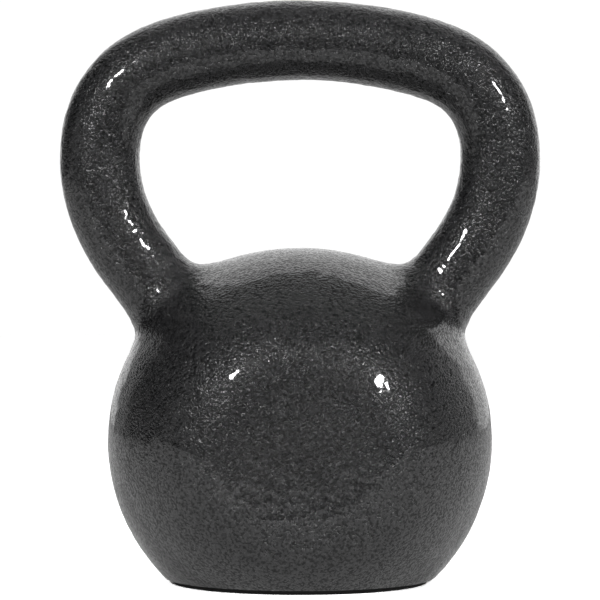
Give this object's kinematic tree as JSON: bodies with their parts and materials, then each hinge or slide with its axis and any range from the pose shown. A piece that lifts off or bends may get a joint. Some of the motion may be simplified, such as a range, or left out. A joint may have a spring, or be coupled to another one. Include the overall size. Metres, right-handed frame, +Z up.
{
  "type": "kettlebell",
  "caption": "Kettlebell: a ball with a flat front and back face and a flat base, one arched grip on two horns, hammertone enamel on cast iron, rubber floor pad",
  "frame": {"origin": "on the floor under the middle of the ball, at the centre of the pad's underside", "axes": "+Z up through the ball and the middle of the grip, +X along the grip, -Y out of the front face"},
  "size_m": [0.1966, 0.1364, 0.2383],
  "materials": {
    "cast_iron": "raw sand-cast",
    "hammertone_enamel": "glossy hammertone",
    "black_rubber": "matte"
  },
  "bodies": {
    "root": {"iron_casting": "cast_iron", "enamel_coat": "hammertone_enamel", "rubber_base_pad": "black_rubber"}
  },
  "joints": []
}
